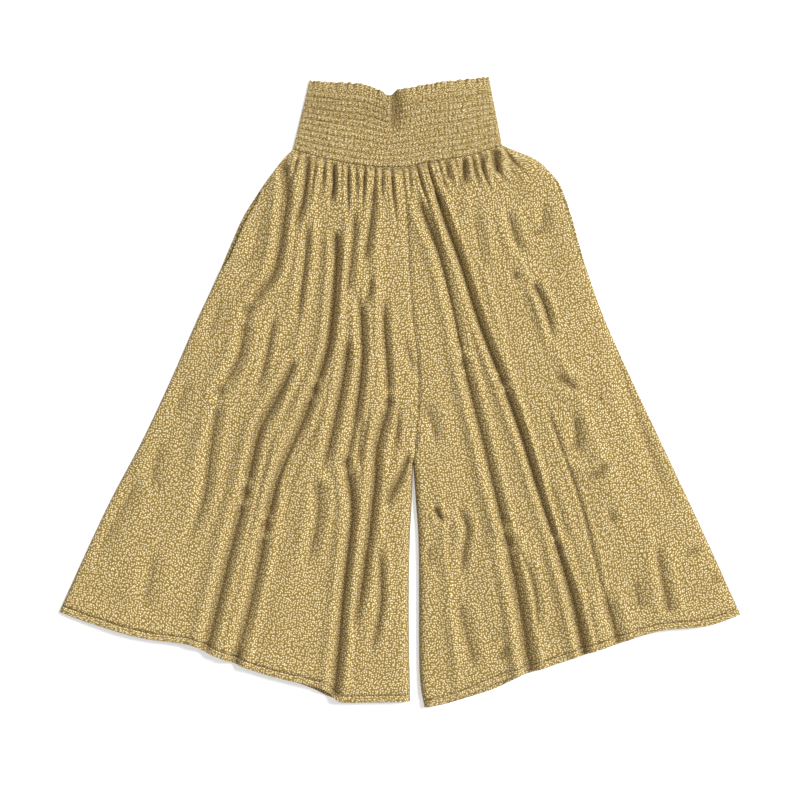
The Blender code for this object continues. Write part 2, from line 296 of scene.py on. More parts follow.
# %% Crease table
RIGHT_CREASES = (
    (3.0, 9, 0.3, 0.4, (-195, 281, -214, 200, -243, 171)),
    (8.0, 6, 0.1, 0.0, (-170, 339, -166, 284, -181, 182, -203, 145, -221, 116)),
    (6.5, 7, 0.0, 0.0, (-221, 116, -228, 79, -236, 46, -261, -1)),
    (5.0, 7, 0.0, 0.4, (-261, -1, -273, -71, -287, -164, -320, -244)),
    (7.0, 5, 0.0, 0.4, (-133, 339, -140, 281, -162, 212)),
    (4.5, 5, 0.3, 0.4, (-133, 260, -136, 204, -144, 134, -151, 79)),
    (9.0, 6, 0.15, 0.0, (-147, 57, -170, 9, -191, -28, -206, -61, -225, -148)),
    (8.5, 7, 0.0, 0.0, (-225, -148, -247, -232, -265, -306, -280, -368)),
    (4.5, 5, 0.3, 0.4, (-177, 123, -188, 79, -199, 28, -214, -9)),
    (7.0, 4, 0.0, 0.4, (-96, 329, -96, 296, -103, 267)),
    (9.0, 5, 0.1, 0.0, (-93, 237, -93, 186, -100, 102, -107, 57, -125, 1)),
    (9.5, 6, 0.0, 0.0, (-125, 1, -144, -46, -177, -123, -196, -196)),
    (8.5, 7, 0.0, 0.0, (-196, -196, -214, -287, -239, -390)),
    (4.5, 9, 0.3, 0.4, (-122, -31, -148, -83, -166, -133, -173, -181)),
    (5.0, 5, 0.3, 0.3, (-70, 277, -67, 230, -74, 167, -78, 131)),
    (8.0, 6, 0.2, 0.2, (-74, 87, -80, 39, -89, -9, -100, -61, -118, -138)),
    (5.5, 7, 0.0, 0.4, (-118, -138, -122, -194, -140, -276)),
    (5.0, 5, 0.2, 0.3, (-38, 307, -41, 260, -48, 212, -56, 178)),
    (6.5, 5, 0.2, 0.0, (-59, 152, -56, 94, -56, 39, -67, -51, -78, -103)),
    (7.0, 6, 0.0, 0.0, (-78, -103, -70, -167, -74, -218, -85, -323, -96, -434)),
    (3.5, 4, 0.3, 0.3, (-41, 175, -46, 138, -58, 123)),
    (4.0, 5, 0.3, 0.4, (-52, -28, -59, -71, -63, -119)),
    (5.5, 5, 0.3, 0.0, (-23, 149, -23, 94, -19, 39, -17, -16)),
    (7.5, 6, 0.0, 0.3, (-17, -16, -34, -80, -37, -129, -48, -225, -63, -316, -74, -364)),
    (4.5, 5, 0.3, 0.3, (-34, -191, -28, -299, -45, -394)),
    (3.5, 4, 0.3, 0.4, (-2, 9, -4, -46, -10, -97)),
    (7.0, 5, 0.1, 0.4, (14, -90, -1, -123, -15, -149, -30, -178)),
    (2.5, 9, 0.4, 0.4, (-254, 145, -268, 104, -283, 68)),
    (3.0, 12, 0.4, 0.4, (-302, 28, -316, -9, -335, -49)),
    (3.5, 11, 0.3, 0.4, (-368, -110, -397, -160, -423, -206, -449, -261)),
    (2.5, 9, 0.4, 0.4, (-342, -59, -354, -107, -361, -151)),
    (2.8, 10, 0.4, 0.3, (-349, -218, -361, -268, -371, -320)),
    (2.5, 6, 0.4, 0.4, (3, 94, 14, 49, 25, 20)),
)
LEFT_CREASES = (
    (6.0, 6, 0.2, 0.0, (22, 292, 37, 248, 55, 204, 75, 126, 92, 42)),
    (8.0, 6, 0.0, 0.0, (92, 42, 112, -42, 132, -127, 154, -218)),
    (9.0, 8, 0.0, 0.0, (154, -218, 173, -316, 180, -364, 186, -400)),
    (4.0, 13, 0.3, 0.1, (149, -200, 164, -270, 176, -345)),
    (4.5, 5, 0.3, 0.2, (165, -218, 184, -254, 195, -298, 199, -361)),
    (8.0, 5, 0.1, 0.0, (48, 299, 66, 244, 85, 193, 114, 102, 147, 16)),
    (6.5, 5, 0.0, 0.0, (147, 16, 176, -64, 202, -149, 228, -225)),
    (9.0, 6, 0.0, 0.0, (228, -225, 250, -306, 265, -376)),
    (3.0, 7, 0.3, 0.3, (202, -115, 220, -158, 243, -232, 268, -306)),
    (7.0, 4, 0.0, 0.4, (92, 344, 92, 291)),
    (4.5, 4, 0.0, 0.4, (66, 332, 70, 299)),
    (3.5, 7, 0.3, 0.4, (103, 284, 110, 229, 117, 193, 125, 145)),
    (9.0, 4.5, 0.0, 0.5, (136, 351, 140, 310)),
    (4.5, 6, 0.3, 0.4, (154, 274, 165, 226, 180, 193)),
    (4.0, 3.5, 0.0, 0.4, (121, 344, 121, 325)),
    (3.0, 6, 0.4, 0.4, (162, 178, 169, 157)),
    (6.0, 5, 0.1, 0.5, (191, 160, 206, 130, 217, 94, 224, 57)),
    (2.5, 7, 0.3, 0.4, (206, 284, 206, 236, 180, 226)),
    (4.5, 6, 0.3, 0.3, (220, 24, 242, 13, 257, 1)),
    (3.8, 7, 0.3, 0.3, (250, -24, 255, -68, 254, -90)),
    (-3.5, 7, 0.2, 0.2, (235, -83, 249, -109, 276, -109, 294, -75)),
    (3.8, 6, 0.3, 0.3, (265, -123, 287, -116, 298, -97)),
    (2.5, 6, 0.4, 0.4, (284, -7, 294, -12)),
    (3.0, 10, 0.3, 0.4, (304, 78, 327, 13, 371, -112, 400, -178)),
    (2.4, 3, 0.2, 0.0, (206, -9, 224, -57, 257, -149, 279, -232, 297, -306, 316, -357)),
    (5.5, 8, 0.5, 0.0, (290, -268, 302, -316, 313, -361)),
    (2.5, 6, 0.4, 0.4, (302, -165, 309, -196)),
    (2.5, 9, 0.4, 0.3, (335, -261, 349, -323)),
    (4.5, 7, 0.4, 0.1, (368, -206, 378, -268, 390, -323)),
    (-2.0, 7, 0.3, 0.2, (345, -173, 364, -232, 378, -313)),
    (2.0, 7, 0.4, 0.4, (407, -239, 438, -225)),
    (2.0, 7, 0.4, 0.4, (445, -273, 467, -268)),
    (3.0, 8, 0.3, 0.4, (33, -12, 48, -48, 52, -86)),
    (5.5, 4, 0.3, 0.3, (48, -165, 62, -189)),
    (4.5, 5, 0.3, 0.3, (81, -155, 96, -196, 92, -232, 88, -276)),
    (3.0, 8, 0.4, 0.2, (84, -291, 92, -335, 110, -409)),
    (3.0, 6, 0.3, 0.3, (136, -390, 158, -371, 177, -364)),
    (2.5, 8, 0.4, 0.4, (41, -213, 41, -261)),
)
print("creases:", len(RIGHT_CREASES), "right,", len(LEFT_CREASES), "left")

# %% [markdown]
# ## Gathers and the back's folds
# The gathers under the waistband all start at the seam, so each row of their table is a place, a depth, a
# lean and a length. The back hides under the front, but it hangs from the same gathers and gets folds of
# the same kind.

# %% Gather and back fold tables
# place along the seam, depth, lean, length
GATHERS = (
    (-145, 4.5, -0.35, 46), (-121, 4.0, -0.15, 60), (-108, 3.5, -0.1, 38), (-84, 3.0, -0.05, 44),
    (-75, 4.5, 0.0, 70), (-64, 3.5, 0.05, 36), (-51, 5.0, -0.05, 64), (-36, 4.0, -0.05, 40),
    (-26, 3.5, 0.0, 58), (-13, 4.5, 0.1, 66), (12, 3.0, 0.1, 40), (23, 4.5, 0.35, 56),
    (38, 5.0, 0.4, 62), (54, 4.0, 0.35, 44), (79, 3.5, 0.25, 46), (103, 4.0, 0.25, 40),
    (113, 4.5, 0.35, 50), (129, 3.5, 0.5, 44), (-156, 2.5, -0.7, 30), (146, 3.0, 0.9, 40),
)
BACK_FOLDS = (
    (2.6, 9, 0.2, 0.0, (-118, 325, -128, 200, -150, 60, -190, -120, -232, -365)),
    (2.2, 8, 0.2, 0.3, (-70, 315, -76, 190, -92, 20, -120, -160, -150, -340)),
    (2.4, 10, 0.2, 0.0, (-36, 310, -34, 160, -42, -30, -62, -210, -78, -430)),
    (2.0, 11, 0.3, 0.4, (-180, 240, -226, 90, -290, -70, -350, -230)),
    (2.4, 9, 0.2, 0.0, (40, 318, 66, 190, 100, 20, 140, -180, 170, -400)),
    (2.6, 8, 0.2, 0.2, (86, 325, 116, 190, 166, 10, 216, -160, 262, -330)),
    (2.0, 12, 0.3, 0.3, (150, 270, 200, 120, 270, -40, 340, -240)),
    (2.0, 8, 0.3, 0.0, (50, -60, 62, -200, 74, -330, 84, -430)),
)

# %% [markdown]
# ## The shape of one crease
# A crease is a narrow hollow with a soft shoulder on both sides, since the cloth that leaves the valley
# has to go somewhere. Where two meet, the larger wins: adding them would dig a pit wherever a long valley
# is drawn as two routes.

# %% Crease shape
SHARPNESS = 1.1
DEPTH_SCALE = 1.35
# A shoulder's height beside the depth, and its place and spread beside the half width
SHOULDER = 0.42
SHOULDER_PLACE = 2.3
SHOULDER_SPREAD = 1.2
# Beyond this many half widths a crease is too faint to matter
CREASE_REACH = 6


def crease_field(plan, table):
    """Height that a table's creases add: hollows with a raised shoulder on each side."""
    hollow_depth, raised = np.zeros(len(plan)), np.zeros(len(plan))
    for depth, width, starts, ends, route in table:
        curve = smooth_curve(np.reshape(route, (-1, 2)))
        reach = CREASE_REACH * width
        near = ((plan > curve.min(0) - reach) & (plan < curve.max(0) + reach)).all(1)
        if not near.any():
            continue
        away, along = measure(curve, plan[near])
        strength = np.full(len(away), depth * DEPTH_SCALE)
        if starts:
            strength *= ease(along / starts)
        if ends:
            strength *= ease((1 - along) / ends)
        hollow = np.exp(-((away / width) ** SHARPNESS))
        shoulder = SHOULDER * np.exp(-(((away / width - SHOULDER_PLACE) / SHOULDER_SPREAD) ** 2))
        if depth < 0:
            raised[near] -= strength * hollow
        else:
            hollow_depth[near] = np.maximum(hollow_depth[near], strength * hollow)
            raised[near] = np.maximum(raised[near], strength * shoulder)
    return raised - hollow_depth


# %% [markdown]
# ## Gathers become creases too
# Below the band the full width of the cloth is drawn into a short seam, and it leaves the stitches in
# small, deep gathers that die out within a hand's breadth.

# %% Gathers as creases
GATHER_WIDTH = 2.3
GATHER_STRETCH = 1.5
GATHER_FADE = 0.8
GATHER_OVERLAP = 2


def gather_creases():
    """The gathers as rows of a crease table."""
    rows = []
    for x, depth, lean, length in GATHERS:
        y = float(np.interp(x, SEAM[1][:, 0], SEAM[1][:, 1])) + GATHER_OVERLAP
        length *= GATHER_STRETCH
        bend = (x + lean * length * 0.4, y - length * 0.5)
        foot = (x + lean * length, y - length)
        rows.append((depth, GATHER_WIDTH, 0, GATHER_FADE, ((x, y), bend, foot)))
    return rows


GATHER_CREASES = gather_creases()
print(len(GATHER_CREASES), "gathers and", len(BACK_FOLDS), "folds in the back")

# %% [markdown]
# ## Faint wrinkles
# Between the big folds the cloth is never quite flat. A few sine waves that sway as they run down the
# legs, each with its own pitch, give wrinkles that don't repeat to the eye.

# %% Faint wrinkles
# height, pitch, sway, length of a sway, where the sway starts, where the wave starts
WRINKLES = (
    (0.5, 5.3, 1.7, 71, 0.6, 0.0),
    (0.6, 8.1, 2.1, 97, 2.0, 1.0),
    (0.9, 13.7, 1.6, 133, 4.0, 0.0),
)
CROSS_WRINKLE = 0.35
FLARE = 0.0011
FLARE_TOP = 330


def wrinkles(plan, size):
    """Faint, wandering wrinkles that run down the legs."""
    x, y = plan.T
    fan = x / (1 + FLARE * (FLARE_TOP - y))
    total = CROSS_WRINKLE * np.sin(fan / 3.4 + y / 31) * np.sin(y / 23 + fan / 17)
    for height, pitch, sway, sway_length, sway_start, start in WRINKLES:
        total += height * np.sin(fan / pitch + sway * np.sin(y / sway_length + sway_start) + start)
    patchy = 0.55 + 0.45 * np.sin(x / 61 + 1.0) * np.cos(y / 83)
    return size * total * patchy


# %% [markdown]
# ## The back layer
# The back lies on the surface, so its folds can only stand up: the same crease shapes are turned over and
# kept above the surface. At the side seams it lies flat, where the front comes down to it.

# %% Height of the back
BACK_REST = 1.1
BACK_LOOSENESS = 0.25
BACK_WRINKLE = 0.14
BACK_EDGE_REACH = 20
SIDE_CURVES = [edge[1] for edge in SIDES.values()]


def back_top(plan):
    """Height of the upper side of the back panels."""
    lift = np.maximum(-crease_field(plan, BACK_FOLDS), 0)
    loose = lift + BACK_LOOSENESS + wrinkles(plan, BACK_WRINKLE)
    return BACK_REST + loose * ease(nearer(SIDE_CURVES, plan) / BACK_EDGE_REACH)


# %% [markdown]
# ## The front layer
# The front rests on the back. It stands higher in the middle, rolls down to the side seams and to the slit
# between the legs, and meets the band at the band's own height. A hollow may come close to the back but
# never goes through: a soft limit bends the height before it gets there.

# %% Sizes of the front layer
CLOTH = 0.7
CLEAR = 0.3
SIDE_LOFT = 4.5
MIDDLE_RISE = 6.0
LOFT_REACH = 110
LEAST_LOFT = 0.9
LIMIT_SOFTNESS = 0.8
FRONT_WRINKLE = 0.42
CENTRE_GROOVE = 2.2
CENTRE_GROOVE_WIDTH = 3.5
SIDE_ROLL = 15
SLIT_ROLL = 12
# Shares of the panel's length: the stretch at the band, and the swelling below it
BAND_RUN = 0.018
WAIST_PUFF = 2.6
PUFF_START = 0.02
PUFF_END = 0.14
PUFF_FADE = 0.12
GATHERS_AT_BAND = 0.35
BELOW_BAND = 0.6
# Where the pocket's facing and the back's hem lift the front
POCKET_MOUTH = {"right": (0.09, 0.28), "left": (0.10, 0.30)}
MOUTH_RUN = 0.04
FACING_LIFT = 1.5
FACING_REACH = 52
FACING_SLOPE = 30
HEM_LIFT = 1.6
HEM_LIFT_START = 0.93
HEM_LIFT_RUN = 0.05

# %% Height of the front
BAND_EDGE_LEVEL = 4.2
BAND_SWELL = 4.6
BAND_SWELL_REACH = 60
SLIT_CURVES = [edge_of(marks)[1] for marks in INSEAMS.values()]
CENTRE_CURVE = smooth_curve(CENTRE_SEAM)
BAND_SIDE_CURVES = [smooth_curve(marks) for marks in BAND_SIDES.values()]


def band_level(plan):
    """Height of the smocked front's middle surface."""
    return BAND_EDGE_LEVEL + BAND_SWELL * ease(nearer(BAND_SIDE_CURVES, plan) / BAND_SWELL_REACH)


def at_least(height, least):
    """Heights that bend softly away from a lower limit."""
    over = height - least
    return least + 0.5 * (over + np.sqrt(over**2 + LIMIT_SOFTNESS))


def facing_lift(leg, side, v):
    """How far the pocket's facing lifts the front."""
    top, bottom = POCKET_MOUTH[leg]
    mouth = ease((v - top) / MOUTH_RUN + 1.25) * ease((bottom - v) / MOUTH_RUN + 1.25)
    return FACING_LIFT * mouth * ease((FACING_REACH - side) / FACING_SLOPE)


def front_top(leg, plan, v):
    """Height of the upper side of the front panels."""
    side, slit = nearer(SIDE_CURVES, plan), nearer(SLIT_CURVES, plan)
    groove = CENTRE_GROOVE * np.exp(-((measure(CENTRE_CURVE, plan)[0] / CENTRE_GROOVE_WIDTH) ** 2))
    gathers = crease_field(plan, GATHER_CREASES)
    puff = WAIST_PUFF * ease(v / PUFF_START) * ease((PUFF_END - v) / PUFF_FADE)
    room = SIDE_LOFT + MIDDLE_RISE * ease(side / LOFT_REACH) - groove
    room += crease_field(plan, RIGHT_CREASES + LEFT_CREASES)
    room += gathers + puff + wrinkles(plan, FRONT_WRINKLE)
    rise = at_least(room, LEAST_LOFT) * rounded(side / SIDE_ROLL) * rounded(slit / SLIT_ROLL)
    at_band = 1 - ease(v / BAND_RUN)
    waist = band_level(plan) - BELOW_BAND + GATHERS_AT_BAND * gathers
    cloth = waist * at_band + (rise + facing_lift(leg, side, v)) * (1 - at_band)
    hem_room = HEM_LIFT * ease((v - HEM_LIFT_START) / HEM_LIFT_RUN)
    return back_top(plan) + CLEAR + CLOTH + cloth + hem_room


# %% [markdown]
# ## Lengths along the cloth
# Print that is laid on from above smears down the side of a fold. A real print folds with its cloth, so
# each sheet gets a UV map of lengths measured along the cloth itself. The area of the creased surface is
# measured here too.

# %% Lengths and area
def cloth_lengths(grid):
    """Lengths along the cloth, across from the middle column and down from the top row."""
    across = np.linalg.norm(np.diff(grid, axis=1), axis=2)
    across = np.concatenate([np.zeros((len(grid), 1)), np.cumsum(across, axis=1)], axis=1)
    across -= across[:, across.shape[1] // 2][:, None]
    down = np.linalg.norm(np.diff(grid, axis=0), axis=2)
    down = np.concatenate([np.zeros((1, grid.shape[1])), np.cumsum(down, axis=0)], axis=0)
    return across, down


def sheet_area(grid):
    """Area of a grid's surface, in square metres, from the two triangles of each face."""
    first = np.cross(grid[1:, :-1] - grid[:-1, :-1], grid[:-1, 1:] - grid[:-1, :-1])
    second = np.cross(grid[1:, :-1] - grid[1:, 1:], grid[:-1, 1:] - grid[1:, 1:])
    return 0.5 * (np.linalg.norm(first, axis=2).sum() + np.linalg.norm(second, axis=2).sum())


# %% [markdown]
# ## Painted shade in the hollows
# The bottom of a fold looks darker and richer, because light bounces between its walls and picks up the
# dye. That shade is painted into the colour: each height is compared with the smoothed heights around it,
# and a point attribute lets the material darken what lies below them.

# %% Hollow places, for painted shade
HOLLOW_STEPS = 24
HOLLOW_DEPTH = 2.2


def hollows(grid):
    """How far each point lies below the cloth around it, 0 to 1 at full depth: the share of painted shade.
    """
    height = grid[..., 2] / MM
    around = height
    for _ in range(HOLLOW_STEPS):
        wide = np.pad(around, 1, mode="edge")
        around = (wide[:-2, 1:-1] + wide[2:, 1:-1] + wide[1:-1, :-2] + wide[1:-1, 2:]) / 4
    return np.clip((around - height) / HOLLOW_DEPTH, 0, 1)


# %% [markdown]
# ## From a surface to a sheet of cloth
# Every sheet is made in the same way: a grid is laid on its surface, the UV map and the attribute that
# carries painted shade are filled in, and a Solidify modifier gives it its thickness downwards.

# %% Sheet builder
def grid_faces(columns, rows):
    """Corner numbers of each face of a grid, anticlockwise from above."""
    index = np.arange((columns + 1) * (rows + 1)).reshape(rows + 1, columns + 1)
    corners = [index[:-1, :-1], index[1:, :-1], index[1:, 1:], index[:-1, 1:]]
    return np.stack(corners, axis=2).reshape(-1, 4)


def cut_map(grid, fullness, turn):
    """Each point's place on the flat cloth, in metres; fullness is how tightly it is gathered."""
    across, down = cloth_lengths(grid)
    across = across * fullness
    return np.column_stack([
        (across * math.cos(turn) - down * math.sin(turn)).ravel(),
        (across * math.sin(turn) + down * math.cos(turn)).ravel(),
    ])


def new_piece(name, mesh, finish):
    """An object that rides on the garment's one body."""
    mesh.shade_smooth()
    mesh.materials.append(finish)
    piece = bpy.data.objects.new(name, mesh)
    bpy.context.scene.collection.objects.link(piece)
    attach(piece, "root")
    return piece


def make_sheet(node, columns, rows, surface, wall, finish, fullness=1.0, turn=0.0):
    """Cloth on a surface (a function of u across and v down), in place of a node."""
    u = np.tile(np.linspace(0, 1, columns + 1), rows + 1)
    v = np.repeat(np.linspace(0, 1, rows + 1), columns + 1)
    drawn = surface(u, v)
    grid = placed(drawn[:, :3]).reshape(rows + 1, columns + 1, 3)
    faces = grid_faces(columns, rows)
    mesh = bpy.data.meshes.new(node)
    mesh.from_pydata(grid.reshape(-1, 3).tolist(), [], faces.tolist())
    cut = mesh.uv_layers.new(name="cut")
    cut.data.foreach_set("uv", cut_map(grid, fullness, turn)[faces.ravel()].ravel())
    # The point attribute named hollow carries painted shade: the depth of each hollow plus the sheet's own
    # share
    painted_shade = mesh.attributes.new("hollow", "FLOAT", "POINT")
    own_painted_shade = drawn[:, 3] if drawn.shape[1] > 3 else 0
    painted_shade.data.foreach_set("value", np.clip(hollows(grid).ravel() + own_painted_shade, 0, 1))
    piece = new_piece(f"cloth_{node}", mesh, finish)
    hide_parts(node)
    thickness = piece.modifiers.new("thickness", "SOLIDIFY")
    thickness.thickness = wall * MM
    thickness.offset = -1
    area = sheet_area(grid)
    print(f"{piece.name}: {len(faces)} faces, {area:.4f} m2, {grid[..., 2].max() * 1000:.1f} mm high")
    return piece, area


# %% [markdown]
# ## Shader sums written as sums
# A material's nodes are easier to read as a formula. This small class wraps a node's output, and each sum
# on it adds a Math node. Every other node comes from one method of the finish, which sets the node's
# settings first and then fills or links its sockets.

# %% Socket sums
class Value:
    """A node's output that can be used in sums."""

    def __init__(self, finish, socket):
        self.finish = finish
        self.socket = socket

    def maths(self, operation, *values):
        return self.finish.node("ShaderNodeMath", {"operation": operation}, dict(enumerate(values)))[0]

    def __add__(self, other):
        return self.maths("ADD", self, other)

    def __radd__(self, other):
        return self.maths("ADD", other, self)

    def __sub__(self, other):
        return self.maths("SUBTRACT", self, other)

    def __rsub__(self, other):
        return self.maths("SUBTRACT", other, self)

    def __mul__(self, other):
        return self.maths("MULTIPLY", self, other)

    def __rmul__(self, other):
        return self.maths("MULTIPLY", other, self)

    def sine(self):
        return self.maths("SINE", self)

    def cosine(self):
        return self.maths("COSINE", self)


class Outputs:
    """A node's outputs, by name or number."""

    def __init__(self, finish, node):
        self.finish = finish
        self.found = node

    def __getitem__(self, key):
        return Value(self.finish, self.found.outputs[key])


# %% [markdown]
# ## A finish and its nodes
# Colours go through a Mix node, since a Math node would turn them grey, and a smooth step between two
# numbers is a Map Range node.

# %% Finish
# Socket numbers of a Mix node that is set to colours
MIX_SHARE = 0
MIX_FIRST = 6
MIX_SECOND = 7
MIX_RESULT = 2


class Finish:
    """A material being built."""

    def __init__(self, name):
        self.material = bpy.data.materials.new(name)
        self.material.use_nodes = True
        self.tree = self.material.node_tree
        self.shader = self.tree.nodes["Principled BSDF"]

    def fill(self, target, value):
        if isinstance(value, Value):
            self.tree.links.new(value.socket, target)
        else:
            target.default_value = value

    def node(self, kind, settings, sockets):
        new = self.tree.nodes.new(kind)
        for name, value in settings.items():
            setattr(new, name, value)
        for key, value in sockets.items():
            self.fill(new.inputs[key], value)
        return Outputs(self, new)

    def blend(self, share, first, second):
        colours = {MIX_SHARE: share, MIX_FIRST: first, MIX_SECOND: second}
        return self.node("ShaderNodeMix", {"data_type": "RGBA"}, colours)[MIX_RESULT]

    def steps(self, value, low, high, first, last):
        ranged = {"Value": value, "From Min": low, "From Max": high, "To Min": first, "To Max": last}
        return self.node("ShaderNodeMapRange", {"interpolation_type": "SMOOTHSTEP"}, ranged)[0]

    def noise(self, place, scale):
        """Two octaves of flat noise at a scale in cycles a metre."""
        sockets = {"Vector": place, "Scale": scale, "Detail": 2}
        return self.node("ShaderNodeTexNoise", {"noise_dimensions": "2D"}, sockets)[0]

    def bump(self, height, strength, distance):
        sockets = {"Strength": strength, "Distance": distance, "Height": height}
        return self.node("ShaderNodeBump", {}, sockets)[0]

    def set(self, **sockets):
        for name, value in sockets.items():
            self.fill(self.shader.inputs[name.replace("_", " ")], value)


# %% [markdown]
# ## One printed grain
# The cloth is scattered with small cream grains, each turned its own way. A Voronoi texture gives every
# grain a cell, and the cell's random colour turns the grain and picks its tint. A grain is an ellipse
# about the cell's own point, so the pattern never repeats.

# %% Grain cells
GRAIN_PITCH = 0.0035
GRAIN_SCATTER = 0.72
# Half length and half width of a grain beside the pitch
GRAIN_LENGTH = 0.29
GRAIN_WIDTH = 0.215


def grains(finish, cut):
    """Squared distance from the middle of the nearest grain, 1 at its edge, and its chances."""
    cells = finish.node(
        "ShaderNodeTexVoronoi", {"voronoi_dimensions": "2D"},
        {"Vector": cut, "Scale": 1 / GRAIN_PITCH, "Randomness": GRAIN_SCATTER},
    )
    offset = finish.node(
        "ShaderNodeVectorMath", {"operation": "SUBTRACT"}, {0: cut, 1: cells["Position"]}
    )["Vector"]
    away = finish.node("ShaderNodeSeparateXYZ", {}, {0: offset})
    chance = finish.node("ShaderNodeSeparateColor", {}, {0: cells["Color"]})
    turn = chance[0] * math.pi
    cosine, sine = turn.cosine(), turn.sine()
    along = (away[0] * cosine + away[1] * sine) * (1 / (GRAIN_PITCH * GRAIN_LENGTH))
    across = (away[1] * cosine - away[0] * sine) * (1 / (GRAIN_PITCH * GRAIN_WIDTH))
    return along * along + across * across, chance


# %% [markdown]
# ## The printed viscose
# The ground is olive-brown and a little mottled, with a paler rim around each grain where the ink has
# spread. The weave is two crossed sine waves in the bump, and a little sheen gives the soft edge that
# brushed viscose has.

# %% Print and weave
THREAD_PITCH = 0.00055
MOTTLE_SCALE = 420
PATCH_SCALE = 22
PATCH_STRENGTH = 0.10
RIM_STRENGTH = 0.75
PAINTED_SHADE_STRENGTH = 0.5
GROUND = ((0.20, 0.128, 0.022), (0.32, 0.215, 0.052))
RIM = (0.49, 0.35, 0.125)
CREAM = ((0.93, 0.80, 0.46), (0.97, 0.90, 0.70))
PATCH = (0.30, 0.21, 0.08)
# Colour of the painted shade in the hollows
PAINTED_SHADE_COLOUR = (0.10, 0.058, 0.012)


def printed_cloth(name, tone=1.0):
    """Printed cloth; tone below 1 darkens its colours."""
    finish = Finish(name)

    def toned(colour):
        return (*(channel * tone for channel in colour), 1)

    cut = finish.node("ShaderNodeUVMap", {"uv_map": "cut"}, {})[0]
    reach, chance = grains(finish, cut)
    grain = finish.steps(reach, 0.6, 1.5, 1, 0)
    rim = finish.steps(reach, 1.0, 3.0, 1, 0)
    mottle = finish.noise(cut, MOTTLE_SCALE)
    ground = finish.blend(mottle, toned(GROUND[0]), toned(GROUND[1]))
    rimmed = finish.blend(rim * RIM_STRENGTH, ground, toned(RIM))
    cream = finish.blend(chance[1], toned(CREAM[0]), toned(CREAM[1]))
    printed = finish.blend(grain * (0.55 + 0.45 * chance[2]), rimmed, cream)
    # Soft random patches, some 45 mm across, shift the colour up to a tenth of the way to a flat brown
    patches = finish.steps(finish.noise(cut, PATCH_SCALE), 0.3, 0.7, 0.0, PATCH_STRENGTH)
    blotched = finish.blend(patches, printed, toned(PATCH))
    # Painted shade: the attribute named hollow darkens the colour in creases and in the notch's shadow
    hollow = finish.node("ShaderNodeAttribute", {"attribute_name": "hollow"}, {})["Fac"]
    colour = finish.blend(hollow * PAINTED_SHADE_STRENGTH, blotched, toned(PAINTED_SHADE_COLOUR))
    threads = finish.node("ShaderNodeSeparateXYZ", {}, {0: cut})
    turns = 2 * math.pi / THREAD_PITCH
    weave = (threads[0] * turns).sine() * (threads[1] * turns).sine()
    normal = finish.bump(weave * 0.5 + mottle * 0.6, 0.35, 0.00015)
    finish.set(Base_Color=colour, Roughness=0.76 + 0.16 * mottle, Normal=normal)
    finish.set(Sheen_Weight=0.12, Sheen_Roughness=0.5, Specular_IOR_Level=0.25)
    print(f"finish {name}: {len(finish.tree.nodes)} nodes")
    return finish.material


# The smocking and the facing see less light and wear less, so they are darker: painted shade and less worn
# dye
VISCOSE = printed_cloth("viscose_print")
SMOCKED = printed_cloth("smocked_print", 0.98)
FACING = printed_cloth("facing_print", 0.9)
TURNED = printed_cloth("hem_print")

# %% [markdown]
# ## Sewing thread
# Thread of the ground's own colour, but lighter and shinier than the cloth.

# %% Sewing thread
def sewing_thread(name):
    """Twisted thread, a little lighter than the ground of the print."""
    finish = Finish(name)
    place = finish.node("ShaderNodeTexCoord", {}, {})["Object"]
    twist = finish.node(
        "ShaderNodeTexWave", {"bands_direction": "DIAGONAL"},
        {"Vector": place, "Scale": 900, "Distortion": 1.0},
    )["Fac"]
    colour = finish.blend(twist, (0.50, 0.38, 0.18, 1), (0.72, 0.58, 0.32, 1))
    normal = finish.bump(twist, 0.4, 0.0001)
    finish.set(Base_Color=colour, Roughness=0.6 + 0.15 * twist, Normal=normal)
    print(f"finish {name}: {len(finish.tree.nodes)} nodes")
    return finish.material


THREAD = sewing_thread("sewing_thread")

# %% [markdown]
# ## Leg panels
# Front and back panels are the same patch at different heights. The pockets sit in the side seams, and
# there the front's edge draws in a little, so that the facing behind it shows.

# %% Leg surface
MOUTH_INSET = 6.0
ROW_SPREAD = 1.1
# Half the hairline between a panel and its hem, as a share of the panel's length
HEM_HAIRLINE = 0.0004


def leg_surface(leg, layer, u, v):
    """Upper side of a leg panel at u across and v down, as points."""
    edges = panel_edges(leg, layer)
    if layer == "front":
        top, bottom = POCKET_MOUTH[leg]
        mouth = ease((v - top) / MOUTH_RUN) * ease((bottom - v) / MOUTH_RUN)
        width = np.linalg.norm(at(edges[3], v) - at(edges[2], v), axis=1)
        inset = MOUTH_INSET * mouth / width
        u = inset + u * (1 - inset) if leg == "right" else u * (1 - inset)
    plan = spread(edges, u, v)
    height = front_top(leg, plan, v) if layer == "front" else back_top(plan)
    return np.column_stack([plan, height])


def panel(leg, layer):
    """Surface of a leg panel down to where its hem is turned."""
    return lambda u, v: leg_surface(leg, layer, u, (HEM_START - HEM_HAIRLINE) * v**ROW_SPREAD)


# %% [markdown]
# ## Turned hems
# A hem is the panel's own edge turned up twice, so it is a strip of double cloth that follows the panel's
# waves.

# %% Hem surface
HEM_ROLL = 0.35
HEM_ROLL_RUN = 0.25
HEM_PROUD = {"front": 0.2, "back": 0.3}


def hem(leg, layer):
    """Surface of the turned hem, a little proud of the panel."""

    def surface(u, v):
        start = HEM_START + HEM_HAIRLINE
        points = leg_surface(leg, layer, u, start + v * (1 - start))
        roll = HEM_ROLL * rounded(v / HEM_ROLL_RUN) * rounded((1 - v) / HEM_ROLL_RUN)
        points[:, 2] += roll + HEM_PROUD[layer]
        return points

    return surface


# %% [markdown]
# ## Pocket facings
# Behind each pocket's mouth lies a strip of the same print, sewn to the back's side seam. It is made from
# the back panel's own points, moved up by one thickness of cloth.

# %% Facing surface
FACING_WIDTH = 18.0
FACING_CLEAR = 0.1


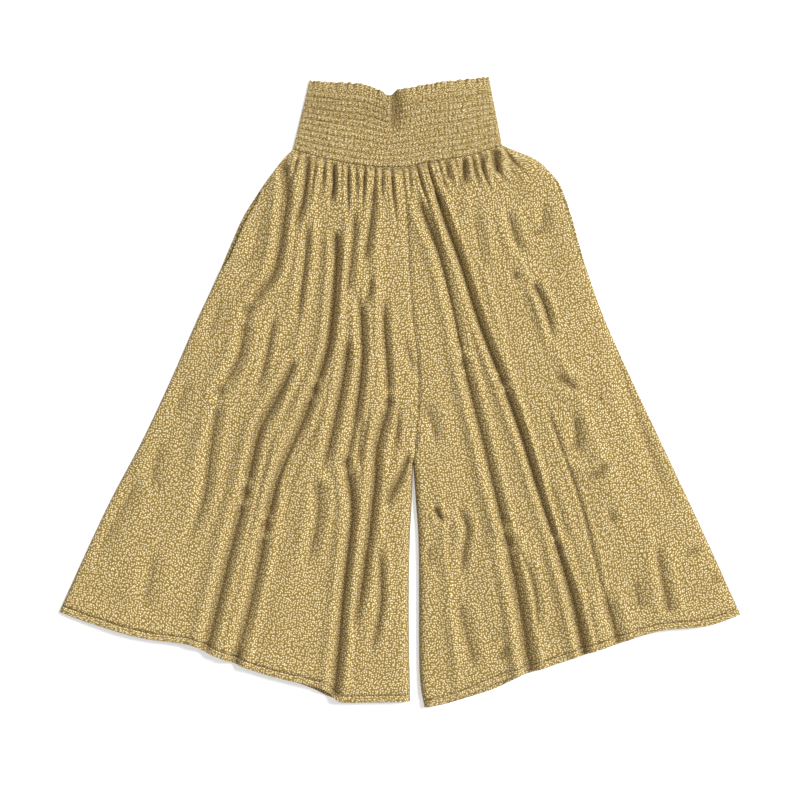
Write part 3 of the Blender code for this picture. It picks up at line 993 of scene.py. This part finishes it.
def facing(leg):
    """Surface of a pocket facing, which lies on the back panel's own points."""

    def surface(u, v):
        top, bottom = POCKET_MOUTH[leg]
        down = top + v * (bottom - top)
        edges = panel_edges(leg, "back")
        reach = FACING_WIDTH / np.linalg.norm(at(edges[3], down) - at(edges[2], down), axis=1)
        across = u * reach if leg == "right" else 1 - (1 - u) * reach
        points = leg_surface(leg, "back", across, down)
        points[:, 2] += CLEAR + CLOTH + FACING_CLEAR
        return points

    return surface


# %% [markdown]
# ## Make the legs
# The front needs the finest grid, because its narrow gathers are only a few millimetres wide.

# %% Legs, hems and facings
# columns and rows of each layer's panels
FINENESS = {"front": (236, 168), "back": (120, 130)}
HEM_ROWS = 6
HEM_WALL = 1.0
PRINT_TURN = {"back": 0.4, "front": 0.05}
for layer in ("back", "front"):
    columns, rows = FINENESS[layer]
    for leg in ("right", "left"):
        node = f"{layer}_panel_{leg}"
        turn = PRINT_TURN[layer] if leg == "right" else -PRINT_TURN[layer]
        make_sheet(
            node, columns, rows, panel(leg, layer), CLOTH, VISCOSE, turn=turn
        )
        node = f"hem_{layer}_{leg}"
        make_sheet(node, columns, HEM_ROWS, hem(leg, layer), HEM_WALL, TURNED)
for leg in ("right", "left"):
    node = f"pocket_facing_{leg}"
    make_sheet(node, 8, 60, facing(leg), CLOTH, FACING)

# %% [markdown]
# ## Smocking
# Rows of elastic thread draw the wide band in, so it puffs up between its rows and puckers finely along
# them, and the cloth above the last row stands free as a small frill.

# %% Smocking heights
SHIRRED_ROWS = 11
# The frill's share of the band's height
FRILL = 0.15
BULGE = 2.1
BULGE_FULLNESS = 0.6
PUCKER = 1.0
FRILL_REST = 0.35
FRILL_BULGE = 1.1
FRILL_WAVE = 1.3
# height, waves across the band, shift for each row
PUCKERS = ((0.7, 251, 0.7), (0.5, 149, 2.3))


def puckers(u, row, layer):
    """Fine uneven folds along the shirred rows."""
    start = 0.0 if layer == "front" else 3.0
    (high, waves, shift), (low, few, slide) = PUCKERS
    sway = 1.3 * np.sin(u * 31 + row * 1.1 + start) + 2.2 * np.sin(row * 1.9 + start)
    total = np.sin(u * 385 + sway)
    total += high * np.sin(u * waves + 2.0 * np.sin(u * 17 + start) + row * shift)
    total += low * np.sin(u * few + row * slide + start)
    return total / (1 + high + low)


def frill_waves(u):
    """Uneven waves along the free edge above the last row."""
    small = np.sin(u * 190 + 3.4 * np.sin(u * 19) + 0.8)
    large = np.sin(u * 83 + 2.6 * np.sin(u * 29) + 2.0)
    return 0.6 * small + 0.7 * large


def smocking(u, v, layer):
    """Height of the bulges, puckers and frill over the band's own level."""
    row = np.clip((v - FRILL) / (1 - FRILL), 0, 1) * SHIRRED_ROWS
    bulge = np.abs(np.sin(math.pi * row)) ** BULGE_FULLNESS
    fold = puckers(u, np.floor(row) + 0.35 * row, layer)
    rows = BULGE * bulge + PUCKER * fold * (0.3 + 0.7 * bulge)
    crown = np.sin(math.pi * np.clip(v / FRILL, 0, 1)) ** 0.6
    frill = FRILL_REST + FRILL_BULGE * crown
    edge = (FRILL_WAVE * frill_waves(u) + 0.4 * fold) * ease((FRILL - v) / FRILL)
    return np.where(v >= FRILL, rows, frill) + edge


# %% [markdown]
# ## The notch
# In the middle of the front the band has folded in on itself: a sharp step, raised on the wearer's right
# and sunk on the left, which runs down from a notch in the top edge and fades out. Shade is painted on the
# sunken side and on the band's upper right, which leans away from the light.

# %% Notch in the band
NOTCH_X = -14.0
NOTCH_FOOT = 362
NOTCH_RUN = 45
NOTCH_SINK = 6.5
SINK_WIDTH = 15
NOTCH_RISE = 1.8
RISE_WIDTH = 13
# Strength of the painted shade on the notch's sunken side
NOTCH_PAINTED_SHADE = 1.3
# The upper part of the band, on the wearer's right, leans away from the light
SHADED_TINT = 0.22


def notch(plan):
    """How far the notch sinks and raises the band, and the shade painted on the places in its shadow."""
    run = plan[:, 0] - NOTCH_X
    down = ease((plan[:, 1] - NOTCH_FOOT) / NOTCH_RUN)
    step = ease((run + 1.5) / 3)
    sink = NOTCH_SINK * step * np.exp(-((np.maximum(run, 0) / SINK_WIDTH) ** 2.4)) * down
    rise = NOTCH_RISE * (1 - step) * np.exp(-((run / RISE_WIDTH) ** 2)) * down
    shaded = SHADED_TINT * ease((plan[:, 1] - 375) / 25) * ease((60 - run) / 80)
    # Painted shade: darker on the sunken side and on the band's shaded upper right
    return sink, rise, NOTCH_PAINTED_SHADE * sink / NOTCH_SINK + shaded


# %% [markdown]
# ## The waistband
# The two halves of the band are one patch each.

# %% Waistband
DRAWN_BAND_WIDTH = 280
FRILL_SWAY = 0.7
BACK_LEVEL = 1.5
BACK_SHARE = 0.5
FRONT_EDGE_LEVEL = 3.6
LEAST_FRONT_LEVEL = 3.4
SIDE_ROLLS = {"back": 8, "front": 9}
BAND_FULLNESS = {"back": 1.3, "front": 1.5}


def band(layer):
    """Upper side of one half of the waistband, with its own painted shade."""

    def surface(u, v):
        gap = np.array([0, SEAM_GAP / 2])
        edges = [edge_of(marks) for marks in BAND_SIDES.values()]
        left, right = ((marks, curve + gap * marks[:, None]) for marks, curve in edges)
        plan = spread((edge_of(BAND_TOP), (SEAM[0], SEAM[1] + gap), left, right), u, v)
        plan[:, 1] += FRILL_SWAY * frill_waves(u) * ease((FRILL - v) / FRILL)
        roll = rounded(np.minimum(u, 1 - u) * DRAWN_BAND_WIDTH / SIDE_ROLLS[layer])
        if layer == "back":
            height = BACK_LEVEL + BACK_SHARE * smocking(u, v, layer) * roll
            painted_shade = np.zeros(len(u))
        else:
            sink, rise, painted_shade = notch(plan)
            swell = (band_level(plan) - FRONT_EDGE_LEVEL + smocking(u, v, layer)) * roll
            height = np.maximum(FRONT_EDGE_LEVEL + swell - sink + rise, LEAST_FRONT_LEVEL)
        return np.column_stack([plan, height, painted_shade])

    return surface


# layer: columns, rows and wall
BANDS = {"back": (300, 88, 0.9), "front": (400, 110, 0.6)}
for layer, (columns, rows, wall) in BANDS.items():
    node = f"waistband_{layer}"
    make_sheet(
        node, columns, rows, band(layer), wall, SMOCKED, BAND_FULLNESS[layer]
    )

# %% [markdown]
# ## Stitching
# Hems and pocket mouths are held by a line of machine stitches. Each stitch is a small stretched bead that
# lies along the cloth, and all the stitches of a line are one mesh, so that a few hundred of them stay
# light.

# %% One stitch
STITCH = 2.6
STITCH_GAP = 0.7
THREAD_RADIUS = 0.28
BEAD_SIDES = 6
BEAD_RINGS = (-1.0, -0.7, 0.0, 0.7, 1.0)
BEAD_TIP = 0.04


def bead(centre, run, out, lift):
    """Points of one stitch: rings round its run, narrow at both tips."""
    points = []
    for ring in BEAD_RINGS:
        radius = THREAD_RADIUS * math.sqrt(max(1 - ring * ring, BEAD_TIP))
        for step in range(BEAD_SIDES):
            angle = 2 * math.pi * step / BEAD_SIDES
            offset = out * math.cos(angle) + lift * math.sin(angle)
            points.append(centre + run * ring * STITCH / 2 + offset * radius)
    return points


def bead_faces(base):
    """Faces of one stitch, whose points start at the given number."""
    faces = []
    for ring in range(len(BEAD_RINGS) - 1):
        for step in range(BEAD_SIDES):
            a = base + ring * BEAD_SIDES + step
            b = base + ring * BEAD_SIDES + (step + 1) % BEAD_SIDES
            faces.append((a, b, b + BEAD_SIDES, a + BEAD_SIDES))
    last = base + (len(BEAD_RINGS) - 1) * BEAD_SIDES
    faces.append(tuple(base + step for step in reversed(range(BEAD_SIDES))))
    faces.append(tuple(last + step for step in range(BEAD_SIDES)))
    return faces


# %% [markdown]
# ## A line of stitches
# The line is a row of points just above the cloth.

# %% Stitch lines
DIRECTION_REACH = 0.6


def stitch_line(name, points):
    """A line of stitches along points given in millimetres."""
    lengths = travelled(points)
    count = int(lengths[-1] / (STITCH + STITCH_GAP))
    centres = (np.arange(count) + 0.5) * lengths[-1] / count

    def place(distance):
        return np.column_stack([np.interp(distance, lengths, points[:, axis]) for axis in range(3)])

    run = place(centres + DIRECTION_REACH) - place(centres - DIRECTION_REACH)
    run /= np.linalg.norm(run, axis=1)[:, None]
    out = np.cross(run, [0, 0, 1])
    out /= np.linalg.norm(out, axis=1)[:, None]
    vertices, faces = [], []
    for stitch in zip(place(centres), run, out, np.cross(out, run)):
        faces.extend(bead_faces(len(vertices)))
        vertices.extend(bead(*stitch))
    mesh = bpy.data.meshes.new(name)
    mesh.from_pydata(placed(np.array(vertices)).tolist(), [], faces)
    print(f"{name}: {count} stitches")
    return new_piece(name, mesh, THREAD)


# %% [markdown]
# ## Hem and pocket stitching
# The hem's line runs just below its folded edge and the pocket's follows the mouth, lifted so that half of
# the thread shows.

# %% Sew the lines
HEM_LINE = 0.22
HEM_LINE_ENDS = (0.004, 0.996)
MOUTH_LINE = {"right": 0.012, "left": 0.988}
MOUTH_LINE_ENDS = 0.01
THREAD_LIFT = THREAD_RADIUS * 0.4
for leg in ("right", "left"):
    across = np.linspace(*HEM_LINE_ENDS, 400)
    line = hem(leg, "front")(across, np.full(len(across), HEM_LINE))
    line[:, 2] += THREAD_LIFT
    stitch_line(f"stitches_hem_{leg}", line)
    top, bottom = POCKET_MOUTH[leg]
    down = np.linspace(top + MOUTH_LINE_ENDS, bottom - MOUTH_LINE_ENDS, 120)
    line = leg_surface(leg, "front", np.full(len(down), MOUTH_LINE[leg]), down)
    line[:, 2] += THREAD_LIFT
    stitch_line(f"stitches_pocket_{leg}", line)

# %% [markdown]
# ## Cut sizes
# The area of each creased sheet is measured on the drawn cloth and printed as the sheet is made. That area
# is measured on the drawn cloth and kept to what the rectangle can hold, so the frame's own comparison of
# areas can't show a wrong cut here.

# %% [markdown]
# ## Floor
# The garment lies on a plain white surface. A trace of its own light keeps it white where the cloth shades
# it, so that it drops away around the garment.

# %% Floor
HALF_FLOOR = 14.0
# The floor stays this far under the cloth, so that the two never fight for the same place
FLOOR_DROP = 0.0005
corners = [(-1, -1), (1, -1), (1, 1), (-1, 1)]
floor_mesh = bpy.data.meshes.new("floor")
floor_mesh.from_pydata([(x * HALF_FLOOR, y * HALF_FLOOR, 0) for x, y in corners], [], [(0, 1, 2, 3)])
floor = bpy.data.objects.new("floor", floor_mesh)
floor.location.z = cad_box[0][2] - FLOOR_DROP
bpy.context.scene.collection.objects.link(floor)

pale = Finish("pale_surface")
cloudy = pale.node("ShaderNodeTexNoise", {}, {"Scale": 30.0, "Detail": 2.0})[0]
pale.set(Base_Color=pale.blend(cloudy, (0.93, 0.93, 0.93, 1), (0.96, 0.96, 0.96, 1)), Roughness=0.9)
pale.set(Emission_Color=(1, 1, 1, 1), Emission_Strength=0.35)
floor_mesh.materials.append(pale.material)
print("floor at", round(floor.location.z, 4))

# %% [markdown]
# ## Light
# Folds only read when the light comes from one side. One broad light from the upper right does that, with
# an angle wide enough for soft shadows, and an even pale surround fills them. The Standard view transform
# keeps the white of the surface and the colours of the dye as they are.

# %% Light
LIGHT_FROM = Vector((0.85, 0.48, 0.95))
key = bpy.data.lights.new("key", "SUN")
key.energy = 3.95
key.angle = math.radians(24)
key.color = (1.0, 0.985, 0.96)
key_light = bpy.data.objects.new("key", key)
key_light.rotation_euler = LIGHT_FROM.to_track_quat("Z", "Y").to_euler()
bpy.context.scene.collection.objects.link(key_light)

world = bpy.data.worlds.new("studio")
world.use_nodes = True
surround = world.node_tree.nodes["Background"]
surround.inputs["Color"].default_value = (1.0, 0.99, 0.98, 1)
surround.inputs["Strength"].default_value = 0.46
bpy.context.scene.world = world
bpy.context.scene.view_settings.view_transform = "Standard"
print(f"light from {math.degrees(math.asin(LIGHT_FROM.normalized().z)):.0f} degrees above the surface")

# %% [markdown]
# ## Camera
# A garment laid flat is shown from straight above. A long lens, high up, keeps its far edges from leaning,
# and the height follows from the width that has to fit in the frame.

# %% Camera
VIEW_WIDTH = 1.16
VIEW_SHIFT = 0.0116
lens = bpy.data.cameras.new("camera")
lens.lens = 85
lens.sensor_width = 36
camera = bpy.data.objects.new("camera", lens)
camera_height = VIEW_WIDTH * lens.lens / lens.sensor_width
camera.location = (MIDDLE[0], MIDDLE[1] - VIEW_SHIFT, camera_height)
bpy.context.scene.collection.objects.link(camera)
bpy.context.scene.camera = camera
print(f"camera {camera_height:.2f} m above the surface")
